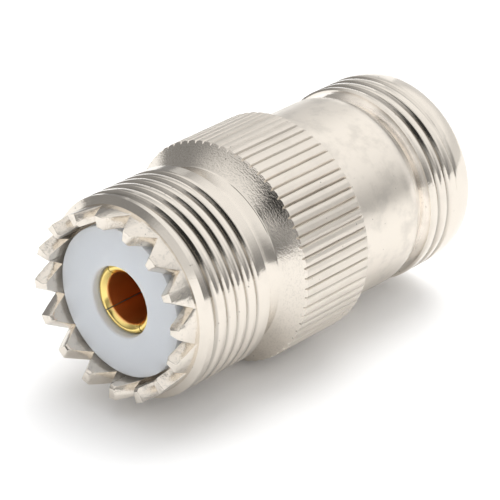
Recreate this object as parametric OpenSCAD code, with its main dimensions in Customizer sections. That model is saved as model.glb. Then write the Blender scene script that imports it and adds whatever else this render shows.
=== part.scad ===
// Straight coaxial adapter, UHF-type socket to N-type socket.
// It stands on the rim of its N end: that rim lies in the plane z = 0, and
// +Z runs along the axis to the serrated end. All sizes are in millimetres.

/* [Threads] */
// Outside diameter of both coupling threads, 5/8 inch
thread_d = 15.875; // [15.2:0.005:16.4]

/* [N end, outside] */
// Diameter of the sloping nose, where its bevel begins
nose_d = 15.4; // [14.4:0.05:15.6]
// Length of the nose, from the rim to the thread
nose_len = 1.95; // [1:0.05:2.5]
// Bevel round the rim of the nose
nose_bevel = 0.7; // [0.1:0.05:0.8]
// Length of the threaded collar
n_thread_len = 3.55; // [2.5:0.05:9]
// Length of the slope at the back of the collar
collar_slope_len = 0.15; // [0.05:0.05:1.2]
// Diameter at the bottom of the relief groove behind the collar
relief_d = 13.5; // [12.4:0.05:14.6]
// Length of the round shoulder from the relief groove up to the barrel
shoulder_len = 2.1; // [1.4:0.05:2.6]
// Diameter of the smooth barrel
barrel_d = 15.6; // [15:0.05:16.4]
// Length of the smooth barrel, from its shoulder to the knurled grip
barrel_len = 6.05; // [4:0.05:14]

/* [Knurled grip] */
// Diameter over the ribs
knurl_d = 17.7; // [17.2:0.05:19]
// Length of the grip, from its rear face to the top of its front slope
knurl_len = 7.15; // [5.5:0.05:12]
// Bevel round the rear face
knurl_bevel = 0.4; // [0.3:0.05:0.6]
// Number of ribs
knurl_ribs = 68; // [48:4:72]
// Depth of the grooves between the ribs
knurl_depth = 0.25; // [0.15:0.01:0.3]
// Length of the slope in front of the grip
grip_slope_len = 1.3; // [0.8:0.05:2]

/* [UHF end, outside] */
// Diameter of the relief neck behind the thread
neck_d = 14.4; // [14.1:0.05:14.9]
// Length of the relief neck
neck_len = 1.55; // [0.8:0.05:3]
// Length of the bevel at the back of the thread
thread_end_len = 0.4; // [0.2:0.05:0.8]
// Length of the threaded stretch in front of that bevel
uhf_thread_len = 6.55; // [5:0.05:14]
// Length of the bevel at the front of the thread
thread_start_len = 0.3; // [0.2:0.05:0.8]

/* [Serrated rim] */
// Number of teeth
tooth_count = 16; // [12:4:20]
// Outside diameter of the ring that carries the teeth
ring_d = 14.7; // [14.2:0.05:15.4]
// Height of that ring, from the thread to the points of the teeth
ring_len = 2.2; // [2.1:0.05:3]
// Depth of the notches between the teeth, from the points down
tooth_depth = 1.85; // [1.4:0.05:2.05]
// Angle of the notches, in degrees
notch_angle = 60; // [50:1:66]
// Bevel inside the points of the teeth
tooth_bevel = 0.2; // [0.1:0.05:0.4]
// Turn of the first tooth about the axis, in degrees
tooth_turn = 4; // [0:0.5:22.5]

/* [Bores of the shells] */
// Width of the open recess round the front of the UHF insulator
recess_w = 0.39; // [0.2:0.01:0.5]
// Depth of that recess below the face of the UHF insulator
recess_depth = 2.5; // [1:0.1:4]
// Width of the flange at the back of the UHF insulator, where the two shells join
flange_w = 0.64; // [0.5:0.02:0.8]
// Length of the joint between the two shells
joint_len = 4.6; // [3:0.1:5]
// Diameter of the mouth of the N end
mouth_d = 8.1; // [8:0.01:8.3]
// Depth of the mouth of the N end, down to its reference shoulder
mouth_depth = 9.1; // [8.9:0.05:9.4]
// Diameter of the bore behind that shoulder
shoulder_d = 7; // [6.6:0.05:7.4]

/* [Insulators] */
// Diameter of the UHF insulator at its face
uhf_insulator_d = 11.82; // [11.4:0.02:12]
// Height of the points of the teeth above the face of the UHF insulator
face_drop = 1.45; // [1:0.05:2.6]
// Bevel round the hole in that face
hole_bevel = 0.1; // [0.05:0.01:0.2]
// Thickness of the flange at the back of the UHF insulator
uhf_flange_len = 2; // [1.2:0.1:3]
// Diameter of the flange at the back of the N insulator
n_flange_d = 10; // [9:0.1:11]
// Length of the narrow front of the N insulator
n_front_len = 1.9; // [1:0.1:3]

/* [Contacts] */
// Outside diameter of the UHF contact
uhf_contact_d = 5.4; // [4.8:0.05:5.8]
// Bore of the UHF contact
uhf_bore_d = 4; // [3.8:0.05:4.2]
// Depth of the bore of the UHF contact
uhf_bore_len = 10.5; // [8:0.1:10.8]
// Depth of the tip of the UHF contact below the face of its insulator
uhf_tip_drop = 0.55; // [0.05:0.05:1]
// Length of the slots in the UHF contact
uhf_slot_len = 7; // [4:0.1:9]
// Outside diameter of the N contact
n_contact_d = 3.04; // [2.9:0.02:3.2]
// Bore of the N contact
n_bore_d = 1.66; // [1.6:0.01:1.7]
// Depth of the bore of the N contact
n_bore_len = 6; // [4.5:0.1:7]
// Depth of the tip of the N contact below the rim
n_tip_drop = 4.1; // [3.8:0.05:4.6]
// Length of the slots in the N contact
n_slot_len = 4; // [2:0.1:4.4]
// Width of the slots in both contacts
slot_w = 0.16; // [0.12:0.01:0.25]
// Turn of the first slot about the axis, in degrees
slot_turn = 39; // [0:0.1:90]
// Bevel outside the tip of the UHF contact
uhf_tip_bevel = 0.15; // [0.1:0.01:0.2]
// Bevel inside the tip of the UHF contact, which leads a pin in
uhf_lead_bevel = 0.35; // [0.2:0.01:0.4]
// Bevel at the tip of the N contact, outside and inside
n_tip_bevel = 0.15; // [0.1:0.01:0.25]
// Diameter of the flange of the UHF contact
uhf_collar_d = 6.8; // [6.2:0.1:8]
// Diameter of the flange of the N contact
n_collar_d = 5; // [4.2:0.1:6]
// Thickness of both flanges
collar_len = 1.5; // [1:0.1:1.8]
// Diameter of the stud that joins the two contacts
stud_d = 1.8; // [1.4:0.05:2]
// Length of that stud
stud_len = 3.6; // [2.5:0.1:4]

/* [Clearances] */
// Gap all round between pieces that are pressed together
press_gap = 0.02; // [0.01:0.01:0.05]
// Gap all round between a contact and its insulator
contact_gap = 0.08; // [0.04:0.01:0.12]
// Gap beyond the end of the stud
stud_end_gap = 0.3; // [0.1:0.05:0.6]

/* [Hidden] */

$fn = 96;
slot_count = 4;
shoulder_steps = 8;
nickel = [0.80, 0.78, 0.74];
fluoropolymer = [0.85, 0.87, 0.89];
gold = [0.93, 0.76, 0.33];
// How far a cutting shape runs past the surface it opens
past = 1;

// Diameters that follow the UHF insulator
recess_d = uhf_insulator_d + 2 * recess_w;
joint_d = uhf_insulator_d + 2 * flange_w;

// Heights on the axis, from the rim of the N end up
collar_z = nose_len;
collar_top_z = collar_z + n_thread_len;
relief_z = collar_top_z + collar_slope_len;
barrel_z = relief_z + shoulder_len;
seam_z = barrel_z + barrel_len;
grip_top_z = seam_z + knurl_len;
neck_z = grip_top_z + grip_slope_len;
neck_top_z = neck_z + neck_len;
uhf_thread_z = neck_top_z + thread_end_len;
uhf_thread_top_z = uhf_thread_z + uhf_thread_len;
ring_z = uhf_thread_top_z + thread_start_len;
point_z = ring_z + ring_len;
notch_z = point_z - tooth_depth;
face_z = point_z - face_drop;
recess_z = face_z - recess_depth;
joint_top_z = seam_z + joint_len;
flange_top_z = joint_top_z + uhf_flange_len;
n_flange_z = mouth_depth + n_front_len;
uhf_tip_z = face_z - uhf_tip_drop;
stud_z = joint_top_z - stud_len;

// A ring of revolution from a list of [radius, height] points
module turned(points) {
    rotate_extrude() polygon(points);
}

// A straight hole or shaft between two heights
module round_bar(d, z_low, z_high) {
    translate([0, 0, z_low]) cylinder(d = d, h = z_high - z_low);
}

// A slope that opens the end of a hole, or trims the end of a shaft
module round_slope(d_low, d_high, z_low, z_high) {
    translate([0, 0, z_low]) cylinder(d1 = d_low, d2 = d_high, h = z_high - z_low);
}

// V-shaped grooves along the grip, one between each pair of ribs
module knurl_grooves() {
    floor_r = knurl_d / 2 - knurl_depth;
    open_r = knurl_d / 2 + past;
    for (i = [0 : knurl_ribs - 1])
        rotate(i * 360 / knurl_ribs)
            translate([0, 0, seam_z - past])
                linear_extrude(grip_top_z - seam_z + 2 * past)
                    polygon([[floor_r, 0],
                             [open_r, open_r - floor_r],
                             [open_r, floor_r - open_r]]);
}

// V-shaped notches across the rim, which leave one tooth between each pair
module rim_notches() {
    pitch = 360 / tooth_count;
    rise = tooth_depth + past;
    open_w = rise * tan(notch_angle / 2);
    for (i = [0 : tooth_count - 1])
        rotate(tooth_turn + (i + 0.5) * pitch)
            translate([uhf_insulator_d / 2 - past, 0, notch_z])
                rotate([90, 0, 90])
                    linear_extrude(thread_d / 2)
                        polygon([[0, 0], [open_w, rise], [-open_w, rise]]);
}

// Saw cuts that leave a contact with springy fingers
module slots(tube_d, z_low, z_high) {
    for (i = [0 : slot_count - 1])
        rotate(slot_turn + i * 360 / slot_count)
            translate([0, -slot_w / 2, z_low])
                cube([tube_d, slot_w, z_high - z_low]);
}

// Shell of the UHF end, turned in one piece with the knurled grip
module knurled_body() {
    color(nickel) difference() {
        turned([
            [joint_d / 2, seam_z],
            [knurl_d / 2 - knurl_bevel, seam_z],
            [knurl_d / 2, seam_z + knurl_bevel],
            [knurl_d / 2, grip_top_z],
            [neck_d / 2, neck_z],
            [neck_d / 2, neck_top_z],
            [thread_d / 2, uhf_thread_z],
            [thread_d / 2, uhf_thread_top_z],
            [ring_d / 2, ring_z],
            [ring_d / 2, point_z],
            [recess_d / 2 + tooth_bevel, point_z],
            [recess_d / 2, point_z - tooth_bevel],
            [recess_d / 2, recess_z],
            [uhf_insulator_d / 2 + press_gap, recess_z],
            [uhf_insulator_d / 2 + press_gap, flange_top_z],
            [joint_d / 2, flange_top_z]]);
        knurl_grooves();
        rim_notches();
    }
}

// Shell of the N end: nose, thread, smooth barrel and the hidden spigot
module n_jack_shell() {
    spigot_r = joint_d / 2 - press_gap;
    flange_r = n_flange_d / 2 + press_gap;
    drop = (barrel_d - relief_d) / 2;
    shoulder_r = (shoulder_len * shoulder_len + drop * drop) / (2 * drop);
    sweep = asin(shoulder_len / shoulder_r);
    shoulder = [for (i = [0 : shoulder_steps])
        let (a = sweep * (1 - i / shoulder_steps))
            [barrel_d / 2 - shoulder_r * (1 - cos(a)), barrel_z - shoulder_r * sin(a)]];
    color(nickel) turned(concat([
        [mouth_d / 2, 0],
        [nose_d / 2 - nose_bevel, 0],
        [nose_d / 2, nose_bevel],
        [thread_d / 2, collar_z],
        [thread_d / 2, collar_top_z]], shoulder, [
        [barrel_d / 2, seam_z],
        [spigot_r, seam_z],
        [spigot_r, joint_top_z],
        [flange_r, joint_top_z],
        [flange_r, n_flange_z],
        [shoulder_d / 2, n_flange_z],
        [shoulder_d / 2, mouth_depth],
        [mouth_d / 2, mouth_depth]]));
}

// Insulator of the UHF end, held by its flange between the two shells
module uhf_insulator() {
    hole_d = uhf_contact_d + 2 * contact_gap;
    color(fluoropolymer) difference() {
        union() {
            round_bar(uhf_insulator_d, joint_top_z, face_z);
            round_bar(joint_d - 2 * press_gap, joint_top_z, flange_top_z);
        }
        round_bar(hole_d, joint_top_z - past, face_z + past);
        round_bar(uhf_collar_d + 2 * contact_gap, joint_top_z - past, joint_top_z + collar_len);
        round_slope(hole_d, hole_d + 2 * (hole_bevel + past), face_z - hole_bevel, face_z + past);
    }
}

// Insulator of the N end, which shows at the bottom of the mouth
module n_insulator() {
    color(fluoropolymer) difference() {
        union() {
            round_bar(shoulder_d - 2 * press_gap, mouth_depth, joint_top_z);
            round_bar(n_flange_d, n_flange_z, joint_top_z);
        }
        round_bar(n_contact_d + 2 * contact_gap, mouth_depth - past, joint_top_z + past);
        round_bar(n_collar_d + 2 * contact_gap, joint_top_z - collar_len, joint_top_z + past);
    }
}

// Slotted contact of the UHF end, with the stud that holds the N contact
module uhf_contact() {
    color(gold) difference() {
        union() {
            round_bar(uhf_contact_d, joint_top_z, uhf_tip_z - uhf_tip_bevel);
            round_slope(uhf_contact_d, uhf_contact_d - 2 * uhf_tip_bevel,
                        uhf_tip_z - uhf_tip_bevel, uhf_tip_z);
            round_bar(uhf_collar_d, joint_top_z, joint_top_z + collar_len);
            round_bar(stud_d, stud_z, joint_top_z);
        }
        round_bar(uhf_bore_d, uhf_tip_z - uhf_bore_len, uhf_tip_z + past);
        round_slope(uhf_bore_d, uhf_bore_d + 2 * uhf_lead_bevel,
                    uhf_tip_z - uhf_lead_bevel, uhf_tip_z);
        slots(uhf_contact_d, uhf_tip_z - uhf_slot_len, uhf_tip_z + past);
    }
}

// Slotted contact of the N end, which stands in the middle of the mouth
module n_contact() {
    color(gold) difference() {
        union() {
            round_bar(n_contact_d, n_tip_drop + n_tip_bevel, joint_top_z);
            round_slope(n_contact_d - 2 * n_tip_bevel, n_contact_d,
                        n_tip_drop, n_tip_drop + n_tip_bevel);
            round_bar(n_collar_d, joint_top_z - collar_len, joint_top_z);
        }
        round_bar(n_bore_d, n_tip_drop - past, n_tip_drop + n_bore_len);
        round_slope(n_bore_d + 2 * n_tip_bevel, n_bore_d,
                    n_tip_drop, n_tip_drop + n_tip_bevel);
        round_bar(stud_d + 2 * press_gap, stud_z - stud_end_gap, joint_top_z + past);
        slots(n_contact_d, n_tip_drop - past, n_tip_drop + n_slot_len);
    }
}

knurled_body();
n_jack_shell();
uhf_insulator();
n_insulator();
uhf_contact();
n_contact();
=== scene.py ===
import math
import random
from types import SimpleNamespace

import bmesh
import bpy
from mathutils import Matrix, Vector, noise


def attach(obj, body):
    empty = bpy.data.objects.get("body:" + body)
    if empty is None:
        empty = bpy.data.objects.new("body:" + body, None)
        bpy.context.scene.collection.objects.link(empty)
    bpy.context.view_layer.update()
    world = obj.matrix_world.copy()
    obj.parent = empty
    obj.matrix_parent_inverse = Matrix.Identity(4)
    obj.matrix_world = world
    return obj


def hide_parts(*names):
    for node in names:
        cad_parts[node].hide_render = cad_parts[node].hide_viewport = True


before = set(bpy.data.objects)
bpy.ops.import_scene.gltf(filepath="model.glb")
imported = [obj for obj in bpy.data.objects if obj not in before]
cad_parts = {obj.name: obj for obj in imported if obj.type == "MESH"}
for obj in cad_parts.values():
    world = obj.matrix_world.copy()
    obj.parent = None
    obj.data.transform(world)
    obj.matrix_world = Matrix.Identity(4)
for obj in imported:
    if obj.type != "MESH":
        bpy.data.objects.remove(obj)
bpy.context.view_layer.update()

# A straight coaxial adapter: the N end stands at the bottom, the serrated UHF end is at the top
# All shapes below are built in millimetres, about the Z axis, and scaled once at the end
MM = 0.001
FULL_TURN = 2 * math.pi
SEED = 4
random.seed(SEED)
noise.seed_set(SEED)

# The shell of the UHF end. Its columns of faces are 34 to a tooth and 8 to a rib, so that its bands meet
COLUMNS = 544
TEETH = 16
TOOTH_TURN_COLUMNS = 6
TOOTH_FLANK_COLUMNS = 13
RIBS = 68
CREST_R = 7.9375
RING_R = 7.35
RECESS_R = 6.3
POINT_Z = 33.25
NOTCH_Z = 31.4
RING_FOOT_Z = 31.05
RECESS_Z = 29.3
TOOTH_BEVEL = 0.2
NOTCH_HALF_ANGLE = math.radians(30)
THREAD_TOP_Z = 30.75
THREAD_Z = 24.2
NECK_TOP_Z = 23.8
NECK_Z = 22.25
NECK_R = 7.2
GRIP_TOP_Z = 20.95
GRIP_R = 8.85
GRIP_REAR_R = 8.45
GRIP_FRONT_DROP = 0.35
GRIP_FRONT_R = GRIP_R - GRIP_FRONT_DROP
# Rise of the grip's front slope for each millimetre towards the axis
GRIP_SLOPE = (NECK_Z - GRIP_TOP_Z) / (GRIP_R - NECK_R)
GRIP_FRONT_Z = GRIP_TOP_Z + GRIP_FRONT_DROP * GRIP_SLOPE
GRIP_INNER_ROWS = 12
SEAM_Z = 13.8
JOINT_R = 6.55
FLANGE_TOP_Z = 20.4
INSULATOR_BORE_R = 5.93

# The shell of the N end
N_COLUMNS = 272
NOSE_R = 7.7
NOSE_BEVEL = 0.7
N_CREST_Z = 1.95
COLLAR_TOP_Z = 5.5
COLLAR_EDGE = 0.15
RELIEF_R = 6.75
RELIEF_Z = 5.65
BARREL_R = 7.8
BARREL_Z = 7.75
SHOULDER_STEPS = 14
SPIGOT_R = 6.53
JOINT_TOP_Z = 18.4
MOUTH_R = 4.05
MOUTH_BEVEL = 0.25
MOUTH_Z = 9.1
SHOULDER_R = 3.5
N_FLANGE_Z = 11
N_FLANGE_BORE_R = 5.02

# The coupling threads: 24 turns to the inch, right-handed
PITCH = 25.4 / 24
GROOVE_DEPTH = 0.32
GROOVE_HALF_W = 0.27
# Angle about the axis of the side that faces the photograph's camera, and each groove's height there
SEEN_ANGLE = 217.5
UHF_GROOVE_Z = 27.61
N_GROOVE_Z = 3.54
# The turns that are drawn, how many the groove runs before and after its seen height, the turns in which
# it fades in and out, and how much wider its last turn is
UHF_CUT = SimpleNamespace(turns=10, before=2.7, after=2.62, fade=0.25, wide=1.35)
N_CUT = SimpleNamespace(turns=7, before=1.15, after=1.6, fade=0.4, wide=1.08)
# Share of its width at which a groove starts and ends
START_WIDTH = 0.25
# Turns before its end between which a groove widens
WIDE_FROM = 1.7
WIDE_TO = 0.9
# How far a widened groove moves towards the end of the thread, for each share it is wider
WIDE_SHIFT = 0.45
# From crest to crest of one turn: share of the groove's half width, shift, share of its depth
THREAD_STEPS = [
    (0, -PITCH / 2, 0),
    (-1, -0.03, 0),
    (-1, 0, 0.05),
    (-0.935, 0, 0.13),
    (-0.305, 0, 0.9),
    (-0.22, 0, 0.98),
    (0, 0, 1),
    (0.22, 0, 0.98),
    (0.305, 0, 0.9),
    (0.935, 0, 0.13),
    (1, 0, 0.05),
    (1, 0.03, 0),
]

# From the middle of a groove of the grip to the middle of the next: share of the pitch, depth
HALF_RIB = [(0, 0.22), (0.05, 0.18), (0.14, 0.04), (0.36, 0.024), (0.5, 0)]
RIB_STEPS = HALF_RIB + [(1 - share, depth) for share, depth in reversed(HALF_RIB[:-1])]

# Wear: how far grooves of the grip lie off their place, in pitches, their least and most depth, and how
# much place and depth wander along them, then how far points of teeth are worn and their edges wave
RIB_SHIFT = 0.07
RIB_LEAST = 0.72
RIB_MOST = 1.0
RIB_WANDER = 0.03
RIB_DEPTH_WANDER = 0.12
RIB_WAVE_SCALE = 0.45
RIB_WAVE_APART = 7.7
TOOTH_DROP = 0.07
TOOTH_WAVE = 0.022
TOOTH_WAVE_SCALE = 2.2

# The insulators and contacts
FACE_Z = 31.8
UHF_INSULATOR_R = 5.91
UHF_HOLE_R = 2.78
HOLE_BEVEL = 0.1
N_INSULATOR_R = 3.48
N_FLANGE_R = 5
N_HOLE_R = 1.6
UHF_TIP_Z = 31.25
UHF_CONTACT_R = 2.7
UHF_BORE_R = 2
UHF_BORE_FLOOR_Z = 20.75
TIP_BEVEL = 0.15
LEAD_BEVEL = 0.35
N_TIP_Z = 4.1
N_CONTACT_R = 1.52
N_BORE_R = 0.83
N_BORE_END_Z = 10.1
UHF_COLLAR_R = 3.4
N_COLLAR_R = 2.5
COLLAR_GAP = 0.08
COLLAR_LEN = 1.5
STUD_R = 0.9
STUD_Z = 14.8
STUD_HOLE_R = 0.92
STUD_HOLE_Z = 14.5
SLOT_W = 0.09
SLOT_TURN = 39
UHF_SLOT_LEN = 7
N_SLOT_LEN = 4
# How far the blade that cuts a slot reaches past the tip, and out from the axis
SLOT_OVERRUN = 1
UHF_BLADE_REACH = 4
N_BLADE_REACH = 3

# Points closer than these are one: within a band, between repeated sectors, and where bands meet
POINT_WELD = 0.002
SECTOR_WELD = 0.003
BAND_WELD = 0.004
# Points this close to a limit count as on it
NEAR = 0.01
# Edges sharper than these, in degrees, are shaded as edges
SHELL_SMOOTH = 32
INNER_SMOOTH = 40

# Colours of the finishes, and the painted light that makes the plate lighter in the shaded relief groove
PLATE_TINT = (0.83, 0.768, 0.685)
RELIEF_PAINTED_LIGHT = (0.13, 0.15, 0.18)
INSULATOR_TINT = (0.79, 0.82, 0.86, 1)
GOLD_TINT = (1.0, 0.77, 0.27, 1)
# Painted shade in the gold bore: a deeper, redder gold for its reflections of itself
BORE_SHADE_TINT = (0.92, 0.5, 0.2, 1)

# The photograph's camera, with the adapter lying on its side: up is -Y, the serrated end is +Z
CAMERA_HEIGHT_ANGLE = 27.4
CAMERA_SIDE_ANGLE = 42.35
FOCAL_PIXELS = 3000
IMAGE_PIXELS = 500
SENSOR = 36
UP = Vector((0, -1, 0))
# Centre of the insulator's face as the camera sees it: right, down and forward of the lens
FACE_SEEN = Vector((-9.54, 3.81, 218.56))

# The white ground: its grey where other things mirror it or the camera sees it, and a faint glow
FLOOR_Y = 8.87
FLOOR_HALF = 400
FLOOR_MIRRORED = 0.82
FLOOR_SEEN = 0.95
FLOOR_GLOW = 0.02

# The light tent: its brightest direction and its levels, then the main light that falls on the adapter
TENT_TOP = (-0.17, -0.985, 0)
TENT_LOW = 0.28
TENT_HIGH = 0.98
TENT_MOST = 1.05
END_LIFT = 0.5
GAP_DARKNESS = 0.98
MAIN_LIGHT_WAY = (0.1, -0.93, -0.35)
MAIN_LIGHT = 3.2

# The soft lamp behind the N end
SOFTBOX_PLACE = Vector((86, -38, -85))
SOFTBOX_TARGET = Vector((0, 0, 10))
SOFTBOX_W = 50
SOFTBOX_H = 75
SOFTBOX_WATTS = 0.0042


class Value:
    """A node's output that can be used in sums: each sign adds one Math node."""

    def __init__(self, tree, socket):
        self.tree = tree
        self.socket = socket

    def __add__(self, other):
        return self.tree.math("ADD", self, other)

    def __radd__(self, other):
        return self.tree.math("ADD", other, self)

    def __sub__(self, other):
        return self.tree.math("SUBTRACT", self, other)

    def __rsub__(self, other):
        return self.tree.math("SUBTRACT", other, self)

    def __mul__(self, other):
        return self.tree.math("MULTIPLY", self, other)

    def __rmul__(self, other):
        return self.tree.math("MULTIPLY", other, self)

    def __truediv__(self, other):
        return self.tree.math("DIVIDE", self, other)

    def __rtruediv__(self, other):
        return self.tree.math("DIVIDE", other, self)


class Tree:
    """Adds nodes to a node tree."""

    def __init__(self, tree):
        self.tree = tree

    def plug(self, socket, value):
        """Links a value to a socket, or sets the socket to a number, a colour or a vector."""
        if isinstance(value, Value):
            self.tree.links.new(value.socket, socket)
        else:
            socket.default_value = value

    def node(self, kind, inputs, output=0, **settings):
        """One node: settings are its own properties, inputs its sockets by name or number."""
        made = self.tree.nodes.new(kind)
        for name, setting in settings.items():
            setattr(made, name, setting)
        for name, value in inputs.items():
            self.plug(made.inputs[name], value)
        return Value(self, made.outputs[output])

    def math(self, operation, *values):
        return self.node("ShaderNodeMath", dict(enumerate(values)), operation=operation)

    def split(self, vector):
        """The X, Y and Z of a vector."""
        made = self.node("ShaderNodeSeparateXYZ", {0: vector}).socket.node
        return [Value(self, socket) for socket in made.outputs]

    def smooth(self, value, low, high, at_low=0.0, at_high=1.0):
        """A soft step from at_low to at_high while value goes from low to high."""
        return self.node(
            "ShaderNodeMapRange",
            {0: value, 1: low, 2: high, 3: at_low, 4: at_high},
            interpolation_type="SMOOTHSTEP",
        )

    def fade(self, value, low, high):
        """A soft step down from 1 to 0."""
        return self.smooth(value, low, high, 1.0, 0.0)

    def band(self, value, low, full, fading, high):
        """0 below low and above high, 1 from full to fading."""
        return self.smooth(value, low, full) * self.fade(value, fading, high)


def geometry_tree(name, sockets):
    """A Geometry Nodes tree with the named inputs, its Tree wrapper and the inputs as values."""
    group = bpy.data.node_groups.new(name, "GeometryNodeTree")
    group.interface.new_socket("Geometry", in_out="OUTPUT", socket_type="NodeSocketGeometry")
    group.interface.new_socket("Geometry", in_out="INPUT", socket_type="NodeSocketGeometry")
    for label, kind in sockets:
        group.interface.new_socket(label, in_out="INPUT", socket_type="NodeSocket" + kind)
    tree = Tree(group)
    source = group.nodes.new("NodeGroupInput")
    given = {socket.name: Value(tree, socket) for socket in source.outputs if socket.name}
    return group, tree, given


def finish_tree(group, tree, geometry, given):
    """The end of every tree: one welded mesh of one material."""
    real = tree.node("GeometryNodeRealizeInstances", {"Geometry": geometry})
    welded = tree.node("GeometryNodeMergeByDistance", {"Geometry": real, "Distance": given["Weld"]})
    painted = tree.node("GeometryNodeSetMaterial", {"Geometry": welded, "Material": given["Material"]})
    sink = group.nodes.new("NodeGroupOutput")
    tree.plug(sink.inputs["Geometry"], painted)


def repeat_tree():
    """Repeats a sector round the axis."""
    group, tree, given = geometry_tree(
        "repeat_round_axis",
        [("Count", "Int"), ("Turn", "Float"), ("Weld", "Float"), ("Material", "Material")],
    )
    points = tree.node("GeometryNodePoints", {"Count": given["Count"]})
    index = tree.node("GeometryNodeInputIndex", {})
    angle = given["Turn"] + index * FULL_TURN / given["Count"]
    euler = tree.node("ShaderNodeCombineXYZ", {"Z": angle})
    turn = tree.node("FunctionNodeEulerToRotation", {"Euler": euler})
    ring = tree.node(
        "GeometryNodeInstanceOnPoints",
        {"Points": points, "Instance": given["Geometry"], "Rotation": turn},
    )
    finish_tree(group, tree, ring, given)
    return group


def pick(tree, index, values):
    """The value that stands at that index of a list."""
    switch = tree.tree.nodes.new("GeometryNodeIndexSwitch")
    switch.data_type = "FLOAT"
    while len(switch.index_switch_items) < len(values):
        switch.index_switch_items.new()
    tree.plug(switch.inputs["Index"], index)
    for i, value in enumerate(values):
        switch.inputs[1 + i].default_value = value
    return Value(tree, switch.outputs[0])


def thread_tree():
    """A threaded band: its rows follow the helix, so that the edges of the groove stay clean."""
    counts = ["Columns", "Turns"]
    sizes = ["Low", "High", "Crest Radius", "Groove Start"]
    sizes += ["First Turn", "Last Turn", "Fade Turns", "Wide End", "Weld"]
    sockets = [(count, "Int") for count in counts]
    sockets += [(size, "Float") for size in sizes]
    sockets += [("Material", "Material")]
    group, tree, given = geometry_tree("threaded_band", sockets)
    steps = len(THREAD_STEPS)
    rows = given["Turns"] * steps
    grid = tree.node(
        "GeometryNodeMeshGrid",
        {"Size X": 1.0, "Size Y": rows - 1, "Vertices X": given["Columns"] + 1, "Vertices Y": rows},
    )
    across, along, _ = tree.split(tree.node("GeometryNodeInputPosition", {}))
    share = across + 0.5
    row = tree.math("ROUND", along + (rows - 1) / 2)
    turn_number = tree.math("FLOOR", (row + 0.5) / steps)
    step = row - turn_number * steps
    turn = turn_number + share
    first = given["First Turn"]
    last = given["Last Turn"]
    fade = tree.smooth(turn, first, first + given["Fade Turns"])
    fade = fade * tree.fade(turn, last - given["Fade Turns"], last)
    wide = tree.smooth(turn, last - WIDE_FROM, last - WIDE_TO, 1.0, given["Wide End"])
    half_width = GROOVE_HALF_W * wide * (START_WIDTH + (1 - START_WIDTH) * fade)
    widths, shifts, depths = zip(*THREAD_STEPS)
    offset = half_width * pick(tree, step, widths) + pick(tree, step, shifts)
    height = given["Groove Start"] + turn * PITCH + offset + (wide - 1) * WIDE_SHIFT
    height = tree.math("MAXIMUM", tree.math("MINIMUM", height, given["High"]), given["Low"])
    radius = given["Crest Radius"] - GROOVE_DEPTH * fade * wide * pick(tree, step, depths)
    angle = share * FULL_TURN
    spot = tree.node(
        "ShaderNodeCombineXYZ",
        {"X": radius * tree.math("COSINE", angle), "Y": radius * tree.math("SINE", angle), "Z": height},
    )
    band = tree.node("GeometryNodeSetPosition", {"Geometry": grid, "Position": spot})
    finish_tree(group, tree, band, given)
    return group


def evaluated_mesh(obj):
    """A plain mesh of what an object's modifiers make."""
    bpy.context.view_layer.update()
    graph = bpy.context.evaluated_depsgraph_get()
    return bpy.data.meshes.new_from_object(obj.evaluated_get(graph))


def add_object(name, data):
    """A new object in the scene."""
    made = bpy.data.objects.new(name, data)
    bpy.context.scene.collection.objects.link(made)
    return made


def grown(mesh, group, values):
    """The mesh that a Geometry Nodes tree makes from a mesh, as a new mesh without a modifier."""
    holder = add_object("holder", mesh)
    modifier = holder.modifiers.new("nodes", "NODES")
    modifier.node_group = group
    for item in group.interface.items_tree:
        if item.in_out == "INPUT" and item.name in values:
            modifier[item.identifier] = values[item.name]
    made = evaluated_mesh(holder)
    holder.modifiers.remove(modifier)
    bpy.data.objects.remove(holder)
    return made


def at(r, angle, z):
    """A point from its distance from the axis, its angle about it and its height."""
    return Vector((r * math.cos(angle), r * math.sin(angle), z))


def add_rows(bm, rows, closed=True):
    """Faces between rows of points that run round the axis."""
    made = [[bm.verts.new(p) for p in row] for row in rows]
    for low, high in zip(made, made[1:]):
        count = len(low) if closed else len(low) - 1
        for i in range(count):
            j = (i + 1) % len(low)
            bm.faces.new((low[i], low[j], high[j], high[i]))


def add_turned(bm, profile, columns):
    """A surface of revolution from a list of (radius, height) points."""
    turns = [FULL_TURN * i / columns for i in range(columns)]
    add_rows(bm, [[at(r, a, z) for a in turns] for r, z in profile])


def rounded(profile, size):
    """A profile with each of its inner corners turned into a short arc."""
    edge_share = 0.4
    result = [Vector(profile[0])]
    for before, corner, after in zip(profile, profile[1:], profile[2:]):
        corner = Vector(corner)
        back = Vector(before) - corner
        ahead = Vector(after) - corner
        reach = min(size, edge_share * back.length, edge_share * ahead.length)
        start = corner + back.normalized() * reach
        end = corner + ahead.normalized() * reach
        result += [start, (start + 2 * corner + end) / 4, end]
    result.append(Vector(profile[-1]))
    return result


def weld(bm, size=POINT_WELD):
    """Joins points that coincide, and turns all faces outwards."""
    bmesh.ops.remove_doubles(bm, verts=bm.verts, dist=size)
    bmesh.ops.dissolve_degenerate(bm, edges=bm.edges, dist=size / 2)
    bmesh.ops.recalc_face_normals(bm, faces=bm.faces)


def soften_edges(bm, angle, size):
    """A small round on every edge that is sharper than angle."""
    limit = math.radians(angle)
    inner = [edge for edge in bm.edges if len(edge.link_faces) == 2]
    sharp = [edge for edge in inner if edge.calc_face_angle(0) > limit]
    bmesh.ops.bevel(
        bm, geom=sharp, offset=size, segments=2, profile=0.5, affect="EDGES", clamp_overlap=True
    )


def as_mesh(bm, name):
    """A mesh from a bmesh, which is then done with."""
    mesh = bpy.data.meshes.new(name)
    bm.to_mesh(mesh)
    bm.free()
    return mesh


def sector_mesh(rows, name):
    """A welded mesh from the rows of one sector."""
    bm = bmesh.new()
    add_rows(bm, rows, closed=False)
    weld(bm)
    return as_mesh(bm, name)


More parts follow.
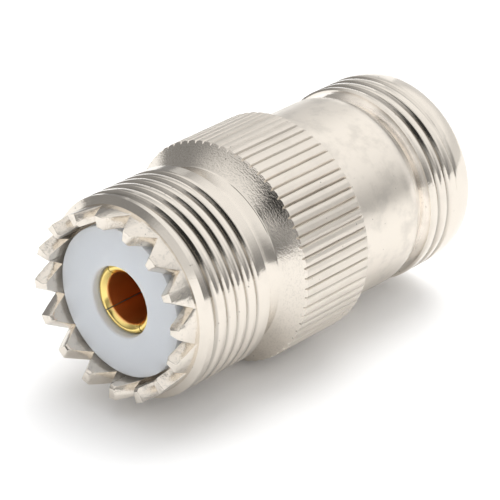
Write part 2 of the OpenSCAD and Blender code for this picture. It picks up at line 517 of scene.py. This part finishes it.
def tooth_sector():
    """One notch with half a tooth on each side of it, from the thread's shoulder to the recess."""
    half = COLUMNS // TEETH // 2
    flank = TOOTH_FLANK_COLUMNS
    reach = (POINT_Z - NOTCH_Z) * math.tan(NOTCH_HALF_ANGLE)
    edge = math.pi / TEETH

    def turn(r, column):
        """Angle of a column at a radius: flanks are flat cuts, so they are narrower further out."""
        size = abs(column)
        if size <= flank:
            angle = math.asin(reach * size / flank / r)
        else:
            tip = math.asin(reach / r)
            angle = tip + (edge - tip) * (size - flank) / (half - flank)
        return math.copysign(angle, column)

    columns = range(-half, half + 1)
    tops = [NOTCH_Z + (POINT_Z - NOTCH_Z) * min(1, abs(c) / flank) for c in columns]
    bevel_z = POINT_Z - TOOTH_BEVEL
    lips = [RECESS_R + max(0, top - bevel_z) for top in tops]
    rows = [
        [at(RING_R, edge * c / half, RING_FOOT_Z) for c in columns],
        [at(RING_R, turn(RING_R, c), top) for c, top in zip(columns, tops)],
        [at(lip, turn(lip, c), top) for c, top, lip in zip(columns, tops, lips)],
        [at(RECESS_R, turn(RECESS_R, c), min(top, bevel_z)) for c, top in zip(columns, tops)],
        [at(RECESS_R, edge * c / half, RECESS_Z) for c in columns],
    ]
    return sector_mesh(rows, "tooth_sector")


def rib_sector():
    """One rib of the grip between the middles of two grooves, from its front slope to its rear bevel."""
    pitch = FULL_TURN / RIBS
    even = [pitch * i / (len(RIB_STEPS) - 1) for i in range(len(RIB_STEPS))]
    ribs = [(pitch * share, depth) for share, depth in RIB_STEPS]
    rear_z = SEAM_Z + GRIP_R - GRIP_REAR_R
    rows = [
        [at(GRIP_FRONT_R, a, GRIP_FRONT_Z) for a in even],
        [at(GRIP_R - d, a, GRIP_TOP_Z + d * GRIP_SLOPE) for a, d in ribs],
    ]
    for i in range(1, GRIP_INNER_ROWS):
        z = GRIP_TOP_Z + (rear_z - GRIP_TOP_Z) * i / GRIP_INNER_ROWS
        rows.append([at(GRIP_R - d, a, z) for a, d in ribs])
    rows.append([at(GRIP_R - d, a, rear_z - d) for a, d in ribs])
    rows.append([at(GRIP_REAR_R, a, SEAM_Z) for a in even])
    return sector_mesh(rows, "rib_sector")


def wear_ribs(bm):
    """Grooves of the grip that are not all of one depth and place, as a worn roller leaves them."""
    pitch = FULL_TURN / RIBS
    shifts = [random.uniform(-RIB_SHIFT, RIB_SHIFT) for _ in range(RIBS)]
    depths = [random.uniform(RIB_LEAST, RIB_MOST) for _ in range(RIBS)]
    for vert in bm.verts:
        z = vert.co.z
        r = math.hypot(vert.co.x, vert.co.y)
        if z <= SEAM_Z + NEAR or r <= GRIP_FRONT_R + NEAR:
            continue
        angle = math.atan2(vert.co.y, vert.co.x)
        groove = round(angle / pitch)
        away = abs(angle / pitch - groove)
        wave = noise.noise(Vector((groove * RIB_WAVE_APART, 0, z * RIB_WAVE_SCALE)))
        turn = angle + pitch * (1 - 2 * away) * (shifts[groove % RIBS] + RIB_WANDER * wave)
        if z < GRIP_TOP_Z + NEAR:
            r = GRIP_R - max(0, GRIP_R - r) * depths[groove % RIBS] * (1 + RIB_DEPTH_WANDER * wave)
        vert.co = at(r, turn, z)


def wear_teeth(bm):
    """Uneven points and slightly wavy edges on the teeth."""
    drops = [random.uniform(0, TOOTH_DROP) for _ in range(TEETH)]
    for vert in bm.verts:
        above = vert.co.z - NOTCH_Z
        if above > 0:
            angle = math.atan2(vert.co.y, vert.co.x) - TOOTH_TURN_COLUMNS * FULL_TURN / COLUMNS
            tooth = round(angle * TEETH / FULL_TURN) % TEETH
            height = above / (POINT_Z - NOTCH_Z)
            vert.co.z -= drops[tooth] * height
            vert.co += noise.noise_vector(vert.co * TOOTH_WAVE_SCALE) * TOOTH_WAVE * height


def thread_band(thread, material, columns, low, high, groove_z, cut):
    """A threaded band from low to high, whose groove passes groove_z on the seen side."""
    seen_turn = cut.turns // 2 + SEEN_ANGLE / 360
    return grown(
        bpy.data.meshes.new("empty"),
        thread,
        {
            "Columns": columns,
            "Turns": cut.turns,
            "Low": low,
            "High": high,
            "Crest Radius": CREST_R,
            "Groove Start": groove_z - PITCH * seen_turn,
            "First Turn": seen_turn - cut.before,
            "Last Turn": seen_turn + cut.after,
            "Fade Turns": cut.fade,
            "Wide End": cut.wide,
            "Weld": SECTOR_WELD,
            "Material": material,
        },
    )


def uhf_shell(repeat, thread, material):
    """The serrated rim, the thread, the neck and the grip, with the bores inside them."""
    common = {"Weld": SECTOR_WELD, "Material": material}
    tooth_turn = (TOOTH_TURN_COLUMNS + COLUMNS / TEETH / 2) * FULL_TURN / COLUMNS
    bm = bmesh.new()
    bm.from_mesh(grown(tooth_sector(), repeat, {"Count": TEETH, "Turn": tooth_turn, **common}))
    weld(bm)
    soften_edges(bm, angle=25, size=0.045)
    wear_teeth(bm)
    grip = bmesh.new()
    grip.from_mesh(grown(rib_sector(), repeat, {"Count": RIBS, "Turn": 0.0, **common}))
    weld(grip)
    wear_ribs(grip)
    bm.from_mesh(as_mesh(grip, "grip"))
    bm.from_mesh(thread_band(thread, material, COLUMNS, THREAD_Z, THREAD_TOP_Z, UHF_GROOVE_Z, UHF_CUT))
    neck = [
        (CREST_R, THREAD_Z),
        (NECK_R, NECK_TOP_Z),
        (NECK_R, NECK_Z),
        (GRIP_FRONT_R, GRIP_FRONT_Z),
    ]
    inside = [
        (GRIP_REAR_R, SEAM_Z),
        (JOINT_R, SEAM_Z),
        (JOINT_R, FLANGE_TOP_Z),
        (INSULATOR_BORE_R, FLANGE_TOP_Z),
        (INSULATOR_BORE_R, RECESS_Z),
        (RECESS_R, RECESS_Z),
    ]
    add_turned(bm, [(RING_R, RING_FOOT_Z), (CREST_R, THREAD_TOP_Z)], COLUMNS)
    add_turned(bm, rounded(neck, size=0.08), COLUMNS)
    add_turned(bm, inside, COLUMNS)
    weld(bm, BAND_WELD)
    return as_mesh(bm, "uhf_shell")


def shoulder_arc():
    """The round shoulder from the relief groove up to the barrel."""
    drop = BARREL_R - RELIEF_R
    length = BARREL_Z - RELIEF_Z
    radius = (length * length + drop * drop) / (2 * drop)
    sweep = math.asin(length / radius)
    arc = []
    for i in range(SHOULDER_STEPS + 1):
        angle = sweep * (1 - i / SHOULDER_STEPS)
        arc.append((BARREL_R - radius * (1 - math.cos(angle)), BARREL_Z - radius * math.sin(angle)))
    return arc


def n_shell(thread, material):
    """The nose, the thread with its collar, the relief groove and the barrel, with the mouth inside."""
    collar_z = COLLAR_TOP_Z - COLLAR_EDGE
    bm = bmesh.new()
    bm.from_mesh(thread_band(thread, material, N_COLUMNS, N_CREST_Z, collar_z, N_GROOVE_Z, N_CUT))
    nose = [
        (CREST_R, N_CREST_Z),
        (NOSE_R, NOSE_BEVEL),
        (NOSE_R - NOSE_BEVEL, 0),
        (MOUTH_R + MOUTH_BEVEL, 0),
        (MOUTH_R, MOUTH_BEVEL),
    ]
    inside = [
        (MOUTH_R, MOUTH_BEVEL),
        (MOUTH_R, MOUTH_Z),
        (SHOULDER_R, MOUTH_Z),
        (SHOULDER_R, N_FLANGE_Z),
        (N_FLANGE_BORE_R, N_FLANGE_Z),
        (N_FLANGE_BORE_R, JOINT_TOP_Z),
        (SPIGOT_R, JOINT_TOP_Z),
        (SPIGOT_R, SEAM_Z),
        (BARREL_R, SEAM_Z),
    ]
    collar = [(CREST_R, collar_z), (CREST_R - COLLAR_EDGE, COLLAR_TOP_Z)]
    add_turned(bm, rounded(nose, size=0.3), N_COLUMNS)
    add_turned(bm, rounded(inside, size=0.05), N_COLUMNS)
    add_turned(bm, collar + shoulder_arc() + [(BARREL_R, SEAM_Z)], N_COLUMNS)
    weld(bm, BAND_WELD)
    return as_mesh(bm, "n_shell")


def turned_mesh(name, profile, columns, size):
    """A solid of revolution from a closed profile, with small rounds at its corners."""
    bm = bmesh.new()
    loop = [(Vector(profile[0]) + Vector(profile[-1])) / 2] + list(profile)
    add_turned(bm, rounded(loop + [loop[0]], size), columns)
    weld(bm)
    return as_mesh(bm, name)


def slotted(mesh, reach, z_low, z_high):
    """Cuts two thin blades through a contact, which leaves it with four fingers."""
    bm = bmesh.new()
    for turn in (SLOT_TURN, SLOT_TURN + 90):
        place = Matrix.Rotation(math.radians(turn), 4, "Z")
        place = place @ Matrix.Translation((0, 0, (z_low + z_high) / 2))
        place = place @ Matrix.Diagonal((2 * reach, SLOT_W, z_high - z_low, 1))
        bmesh.ops.create_cube(bm, size=1, matrix=place)
    blades = add_object("blades", as_mesh(bm, "blades"))
    holder = add_object("holder", mesh)
    cut = holder.modifiers.new("cut", "BOOLEAN")
    cut.object = blades
    cut.operation = "DIFFERENCE"
    cut.solver = "EXACT"
    cut.use_self = True
    made = evaluated_mesh(holder)
    bpy.data.objects.remove(holder)
    bpy.data.objects.remove(blades)
    return made


def uhf_dielectric():
    """The insulator of the UHF end, with a flange at its foot and a stepped hole for the contact."""
    recess_r = UHF_COLLAR_R + COLLAR_GAP
    collar_z = JOINT_TOP_Z + COLLAR_LEN
    profile = [
        (UHF_HOLE_R, collar_z),
        (UHF_HOLE_R, FACE_Z - HOLE_BEVEL),
        (UHF_HOLE_R + HOLE_BEVEL, FACE_Z),
        (UHF_INSULATOR_R, FACE_Z),
        (UHF_INSULATOR_R, FLANGE_TOP_Z),
        (SPIGOT_R, FLANGE_TOP_Z),
        (SPIGOT_R, JOINT_TOP_Z),
        (recess_r, JOINT_TOP_Z),
        (recess_r, collar_z),
    ]
    return turned_mesh("uhf_dielectric", profile, columns=192, size=0.08)


def n_dielectric():
    """The insulator at the bottom of the N end's mouth."""
    recess_r = N_COLLAR_R + COLLAR_GAP
    collar_z = JOINT_TOP_Z - COLLAR_LEN
    profile = [
        (N_HOLE_R, MOUTH_Z),
        (N_INSULATOR_R, MOUTH_Z),
        (N_INSULATOR_R, N_FLANGE_Z),
        (N_FLANGE_R, N_FLANGE_Z),
        (N_FLANGE_R, JOINT_TOP_Z),
        (recess_r, JOINT_TOP_Z),
        (recess_r, collar_z),
        (N_HOLE_R, collar_z),
    ]
    return turned_mesh("n_dielectric", profile, columns=128, size=0.06)


def uhf_socket():
    """The contact of the UHF end: a slotted tube with a collar, and a stud for the other contact."""
    collar_z = JOINT_TOP_Z + COLLAR_LEN
    profile = [
        (UHF_BORE_R, UHF_BORE_FLOOR_Z),
        (UHF_BORE_R, UHF_TIP_Z - LEAD_BEVEL),
        (UHF_BORE_R + LEAD_BEVEL, UHF_TIP_Z),
        (UHF_CONTACT_R - TIP_BEVEL, UHF_TIP_Z),
        (UHF_CONTACT_R, UHF_TIP_Z - TIP_BEVEL),
        (UHF_CONTACT_R, collar_z),
        (UHF_COLLAR_R, collar_z),
        (UHF_COLLAR_R, JOINT_TOP_Z),
        (STUD_R, JOINT_TOP_Z),
        (STUD_R, STUD_Z),
        (0, STUD_Z),
        (0, UHF_BORE_FLOOR_Z),
    ]
    tube = turned_mesh("uhf_socket", profile, columns=160, size=0.1)
    return slotted(tube, UHF_BLADE_REACH, UHF_TIP_Z - UHF_SLOT_LEN, UHF_TIP_Z + SLOT_OVERRUN)


def n_socket():
    """The contact of the N end: a slotted tube with a collar, and a hole for the stud."""
    collar_z = JOINT_TOP_Z - COLLAR_LEN
    profile = [
        (N_BORE_R, N_BORE_END_Z),
        (N_BORE_R, N_TIP_Z + TIP_BEVEL),
        (N_BORE_R + TIP_BEVEL, N_TIP_Z),
        (N_CONTACT_R - TIP_BEVEL, N_TIP_Z),
        (N_CONTACT_R, N_TIP_Z + TIP_BEVEL),
        (N_CONTACT_R, collar_z),
        (N_COLLAR_R, collar_z),
        (N_COLLAR_R, JOINT_TOP_Z),
        (STUD_HOLE_R, JOINT_TOP_Z),
        (STUD_HOLE_R, STUD_HOLE_Z),
        (0, STUD_HOLE_Z),
        (0, N_BORE_END_Z),
    ]
    tube = turned_mesh("n_socket", profile, columns=96, size=0.04)
    return slotted(tube, N_BLADE_REACH, N_TIP_Z - SLOT_OVERRUN, N_TIP_Z + N_SLOT_LEN)


def add_piece(name, mesh, node, material, smooth_angle):
    """Puts a finished mesh in place of a CAD node."""
    mesh.transform(Matrix.Scale(MM, 4))
    mesh.materials.clear()
    mesh.materials.append(material)
    mesh.polygons.foreach_set("material_index", [0] * len(mesh.polygons))
    mesh.polygons.foreach_set("use_smooth", [True] * len(mesh.polygons))
    mesh.set_sharp_from_angle(angle=math.radians(smooth_angle))
    piece = add_object(name, mesh)
    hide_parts(node)
    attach(piece, "root")


def new_material(name):
    """A material, its Tree wrapper and its Principled node."""
    material = bpy.data.materials.new(name)
    material.use_nodes = True
    return material, Tree(material.node_tree), material.node_tree.nodes["Principled BSDF"]


def part_point(tree):
    """Place on the part, in millimetres."""
    place = tree.node("ShaderNodeTexCoord", {}, output="Object")
    return tree.node("ShaderNodeVectorMath", {0: place, "Scale": 1 / MM}, operation="SCALE")


def about_axis(tree, point):
    """A point's distance from the axis, angle about it and height."""
    x, y, z = tree.split(point)
    return tree.math("SQRT", x * x + y * y), tree.math("ARCTAN2", y, x), z


def noise_on(tree, vector, scale, detail, roughness=0.5):
    """Cloudy noise."""
    inputs = {"Vector": vector, "Scale": scale, "Detail": detail, "Roughness": roughness}
    return tree.node("ShaderNodeTexNoise", inputs)


def noise_at(tree, x, y, z, detail):
    """Noise that is drawn out along the ways in which x, y and z change least."""
    return noise_on(tree, tree.node("ShaderNodeCombineXYZ", {0: x, 1: y, 2: z}), 1.0, detail)


def plate_areas(tree, r, z):
    """Masks of the areas of the plate that have a finish or a stain of their own, and of the grooves that
    get painted shade and the relief groove that gets painted light.
    """
    grip = tree.smooth(r, GRIP_FRONT_R - 0.2, GRIP_FRONT_R)
    grip = grip * tree.fade(z, GRIP_TOP_Z - 0.05, GRIP_TOP_Z + 0.05)
    slope = tree.band(z, GRIP_TOP_Z - 0.15, GRIP_TOP_Z + 0.1, NECK_Z - 0.25, NECK_Z)
    slope = slope * tree.smooth(r, NECK_R, NECK_R + 0.1)
    ribbed = tree.band(z, SEAM_Z + 0.4, SEAM_Z + 0.5, GRIP_TOP_Z - 0.15, GRIP_TOP_Z - 0.05)
    # Painted shade: the plate is darkened in the grooves between the ribs of the grip
    rib_groove_shade = tree.fade(r, GRIP_R - 0.19, GRIP_R - 0.08) * grip * ribbed
    threads = tree.band(z, THREAD_Z - 0.1, THREAD_Z, THREAD_TOP_Z, THREAD_TOP_Z + 0.05)
    threads = threads + tree.band(z, N_CREST_Z, N_CREST_Z + 0.1, COLLAR_TOP_Z - 0.1, COLLAR_TOP_Z - 0.05)
    barrel = tree.band(z, RELIEF_Z, RELIEF_Z + 0.5, SEAM_Z - 0.1, SEAM_Z)
    # Painted light: the plate is made lighter in the relief groove, which lies in shade
    relief = tree.band(z, COLLAR_TOP_Z - 0.1, COLLAR_TOP_Z, BARREL_Z - 1.0, BARREL_Z)
    return SimpleNamespace(
        grip=grip,
        slope=slope,
        rib_groove_shade=rib_groove_shade,
        # Painted shade: the plate is darkened in the thread grooves
        thread_groove_shade=tree.fade(r, CREST_R - 0.24, CREST_R - 0.1) * threads,
        barrel=barrel * tree.smooth(r, RELIEF_R - 0.1, RELIEF_R),
        relief=relief * tree.fade(r, BARREL_R - 0.3, BARREL_R),
        teeth=tree.smooth(z, NOTCH_Z - 0.1, NOTCH_Z + 0.2),
    )


def nickel_material():
    """Bright nickel plate: turning marks round the axis, drawn marks along the ribs, chatter on the grip's
    slope, torn teeth, small pits and a stained barrel, with painted shade in the grooves and painted light
    in the relief groove."""
    material, tree, shader = new_material("nickel_plate")
    point = part_point(tree)
    r, angle, z = about_axis(tree, point)
    area = plate_areas(tree, r, z)
    # Marks of the tools
    round_way = angle * 8.0
    marks = noise_at(tree, r * 7.0, z * 7.0, round_way * 0.12, 3.0)
    drawn = noise_at(tree, round_way * 9.0, z * 0.35, 0.0, 3.0)
    chatter = noise_at(tree, r * 9.0, z * 9.0, round_way * 5.0, 4.0)
    ripple = noise_at(tree, r * 2.0, z * 2.0, round_way * 4.5, 1.0)
    torn = noise_on(tree, point, 2.6, 5.0, 0.65)
    grain = noise_on(tree, point, 7.0, 3.0)
    # Wear and stains
    cloud = noise_on(tree, point, 0.3, 3.0)
    worn = noise_on(tree, point, 0.22, 2.0)
    stain = tree.smooth(noise_on(tree, point, 0.55, 5.0, 0.6), 0.45, 0.7)
    cells = tree.node("ShaderNodeTexVoronoi", {"Vector": point, "Scale": 1.5})
    pits = tree.fade(cells, 0.05, 0.11) * tree.smooth(worn, 0.52, 0.6)
    specks = tree.smooth(chatter, 0.5, 0.62) * area.slope
    scars = tree.smooth(torn, 0.52, 0.68) * area.teeth
    height = marks * (1.0 - area.grip) * 0.5 + drawn * area.grip * 1.3 + chatter * area.slope * 1.8
    height = height + ripple * 0.4 + grain * 0.3 + torn * area.teeth * 3.5 - pits * 2.0
    bump = tree.node("ShaderNodeBump", {"Strength": 0.35, "Distance": 0.02 * MM, "Height": height})
    roughness = 0.08 + 0.1 * cloud + area.grip * (0.15 + 0.2 * drawn)
    roughness = roughness + 0.03 * area.slope + 0.17 * area.barrel
    # Real pits, stains, specks and scars darken the plate, and so does painted shade in the thread grooves
    # and between the ribs
    clean = (1.0 - 0.55 * pits) * (1.0 - 0.32 * area.thread_groove_shade) * (1.0 - 0.28 * area.rib_groove_shade)
    clean = clean * (1.0 - 0.07 * area.grip) * (1.0 - (0.05 + 0.1 * area.barrel) * stain)
    clean = clean * (1.0 - 0.1 * specks) * (1.0 - 0.16 * scars)
    # Painted light lifts the colour of the plate in the shaded relief groove
    channels = [(tint + painted_light * area.relief) * clean for tint, painted_light in zip(PLATE_TINT, RELIEF_PAINTED_LIGHT)]
    tree.plug(shader.inputs["Base Color"], tree.node("ShaderNodeCombineColor", dict(enumerate(channels))))
    tree.plug(shader.inputs["Metallic"], 1.0)
    tree.plug(shader.inputs["Roughness"], roughness)
    tree.plug(shader.inputs["Normal"], bump)
    return material


def insulator_material():
    """Waxy white fluoropolymer."""
    material, tree, shader = new_material("white_insulator")
    cloud = noise_on(tree, part_point(tree), 0.5, 3.0)
    tree.plug(shader.inputs["Base Color"], INSULATOR_TINT)
    tree.plug(shader.inputs["Roughness"], 0.38 + 0.15 * cloud)
    tree.plug(shader.inputs["Subsurface Weight"], 0.8)
    tree.plug(shader.inputs["Subsurface Radius"], (1, 1, 1))
    tree.plug(shader.inputs["Subsurface Scale"], 0.6 * MM)
    return material


def gold_material():
    """Polished gold plate, with painted shade down the UHF end's bore: a deeper, redder gold that stands in
    for it mirroring itself.
    """
    material, tree, shader = new_material("gold_plate")
    point = part_point(tree)
    r, _, z = about_axis(tree, point)
    cloud = noise_on(tree, point, 0.8, 2.0)
    # Painted shade: down the bore the gold is painted deeper and redder
    in_bore = tree.fade(r, UHF_BORE_R + 0.03, UHF_BORE_R + 0.12)
    in_bore = in_bore * tree.smooth(z, UHF_BORE_FLOOR_Z - 0.75, UHF_BORE_FLOOR_Z + 0.25)
    tint = tree.node("ShaderNodeMix", {0: in_bore, 6: GOLD_TINT, 7: BORE_SHADE_TINT}, output=2, data_type="RGBA")
    tree.plug(shader.inputs["Base Color"], tint)
    tree.plug(shader.inputs["Metallic"], 1.0)
    tree.plug(shader.inputs["Roughness"], 0.14 + 0.1 * cloud + 0.15 * in_bore)
    return material


def facing_matrix(place, right, top, back):
    """Stands something at a place in millimetres, with its own X, Y and Z along the three ways."""
    turn = Matrix((right, top, back)).transposed().to_4x4()
    return Matrix.Translation(place * MM) @ turn


def add_camera():
    """The photograph's camera."""
    height = math.radians(CAMERA_HEIGHT_ANGLE)
    side = math.radians(CAMERA_SIDE_ANGLE)
    level = math.cos(height)
    back = Vector((-math.sin(side) * level, -math.sin(height), math.cos(side) * level))
    right = UP.cross(back).normalized()
    top = back.cross(right)
    place = Vector((0, 0, FACE_Z)) - FACE_SEEN.x * right + FACE_SEEN.y * top + FACE_SEEN.z * back
    camera = add_object("camera", bpy.data.cameras.new("camera"))
    camera.matrix_world = facing_matrix(place, right, top, back)
    camera.data.sensor_width = SENSOR
    camera.data.lens = FOCAL_PIXELS / IMAGE_PIXELS * SENSOR
    camera.data.clip_start = MM
    bpy.context.scene.camera = camera


def towards(tree, direction, way):
    """Cosine of the angle between a direction and that way."""
    unit = Vector(way).normalized()
    return tree.node("ShaderNodeVectorMath", {0: direction, 1: unit}, output=1, operation="DOT_PRODUCT")


def mirrored_tent(tree, direction):
    """The tent as the plate mirrors it: bright above and at both ends, grey towards the ground, and dark at
    its opening in front of the adapter and at a gap in its roof."""
    x, y, z = tree.split(direction)
    tent = tree.smooth(towards(tree, direction, TENT_TOP), 0.24, 0.72, TENT_LOW, TENT_HIGH)
    tent = tent + END_LIFT * tree.smooth(z, -0.68, -0.82) + END_LIFT * tree.smooth(z, 0.85, 0.95)
    tent = tree.math("MINIMUM", tent, TENT_MOST)
    front = tree.band(x, -0.44, -0.32, 0.32, 0.42) * tree.smooth(z, 0.3, 0.6)
    front = front * tree.smooth(y, -0.64, -0.5) * tree.fade(y + 0.35 * x, -0.28, -0.2)
    roof = tree.band(x, -0.88, -0.8, 0.05, 0.2) * tree.fade(y, -0.52, -0.44)
    roof = roof * tree.fade(tree.math("ABSOLUTE", z - 0.03), 0.16, 0.26)
    return tent * (1.0 - GAP_DARKNESS * tree.math("MAXIMUM", front, roof))


def add_world():
    """A light tent: the plate mirrors its shape, a softer main light falls on everything, and the camera
    sees plain white."""
    world = bpy.data.worlds.new("tent")
    bpy.context.scene.world = world
    world.use_nodes = True
    tree = Tree(world.node_tree)
    direction = tree.node("ShaderNodeTexCoord", {}, output="Generated")
    seen = tree.node("ShaderNodeLightPath", {}, output="Is Camera Ray")
    mirrored = tree.node("ShaderNodeLightPath", {}, output="Is Glossy Ray")
    _, _, z = tree.split(direction)
    main = tree.smooth(towards(tree, direction, MAIN_LIGHT_WAY), 0.88, 0.97)
    spread = 1.0 - 0.75 * z + MAIN_LIGHT * main
    light = spread + mirrored * (mirrored_tent(tree, direction) - spread)
    background = world.node_tree.nodes["Background"]
    tree.plug(background.inputs["Color"], (1, 1, 1, 1))
    tree.plug(background.inputs["Strength"], light + seen * (1.0 - light))


def add_softbox():
    """A soft lamp behind the N end, which the barrel mirrors."""
    lamp = bpy.data.lights.new("softbox", "AREA")
    lamp.shape = "RECTANGLE"
    lamp.size = SOFTBOX_W * MM
    lamp.size_y = SOFTBOX_H * MM
    lamp.energy = SOFTBOX_WATTS
    back = (SOFTBOX_PLACE - SOFTBOX_TARGET).normalized()
    side = back.cross(UP).normalized()
    softbox = add_object("softbox", lamp)
    softbox.matrix_world = facing_matrix(SOFTBOX_PLACE, side, back.cross(side), back)
    softbox.visible_camera = False


def floor_material():
    """White ground that mirrors greyer than the camera sees it, and can't be seen from behind."""
    material, tree, shader = new_material("floor")
    seen = tree.node("ShaderNodeLightPath", {}, output="Is Camera Ray")
    behind = tree.node("ShaderNodeNewGeometry", {}, output="Backfacing")
    grey = FLOOR_MIRRORED + (FLOOR_SEEN - FLOOR_MIRRORED) * seen
    tree.plug(shader.inputs["Base Color"], tree.node("ShaderNodeCombineColor", {0: grey, 1: grey, 2: grey}))
    tree.plug(shader.inputs["Roughness"], 1.0)
    tree.plug(shader.inputs["Specular IOR Level"], 0.0)
    matt = Value(tree, shader.outputs[0])
    glow = tree.node("ShaderNodeEmission", {"Strength": FLOOR_GLOW})
    glowing = tree.node("ShaderNodeAddShader", {0: matt, 1: glow})
    lit = tree.node("ShaderNodeMixShader", {0: seen, 1: matt, 2: glowing})
    clear = tree.node("ShaderNodeBsdfTransparent", {})
    shown = tree.node("ShaderNodeMixShader", {0: behind * seen, 1: lit, 2: clear})
    tree.plug(material.node_tree.nodes["Material Output"].inputs["Surface"], shown)
    return material


def add_floor():
    """The ground under the lying adapter, which takes its shadow."""
    mesh = bpy.data.meshes.new("floor")
    half = FLOOR_HALF * MM
    y = FLOOR_Y * MM
    corners = [(-half, y, -half), (half, y, -half), (half, y, half), (-half, y, half)]
    mesh.from_pydata(corners, [], [(0, 1, 2, 3)])
    mesh.materials.append(floor_material())
    floor = add_object("floor", mesh)


nickel = nickel_material()
white = insulator_material()
gold = gold_material()
repeat_group = repeat_tree()
thread_group = thread_tree()

uhf_mesh = uhf_shell(repeat_group, thread_group, nickel)
n_mesh = n_shell(thread_group, nickel)
add_piece("uhf_shell", uhf_mesh, "knurled_body", nickel, SHELL_SMOOTH)
add_piece("n_shell", n_mesh, "n_jack_shell", nickel, SHELL_SMOOTH)
add_piece("uhf_dielectric", uhf_dielectric(), "uhf_insulator", white, INNER_SMOOTH)
add_piece("n_dielectric", n_dielectric(), "n_insulator", white, INNER_SMOOTH)
add_piece("uhf_socket", uhf_socket(), "uhf_contact", gold, INNER_SMOOTH)
add_piece("n_socket", n_socket(), "n_contact", gold, INNER_SMOOTH)

add_camera()
add_world()
add_softbox()
add_floor()
bpy.context.scene.view_settings.view_transform = "Standard"
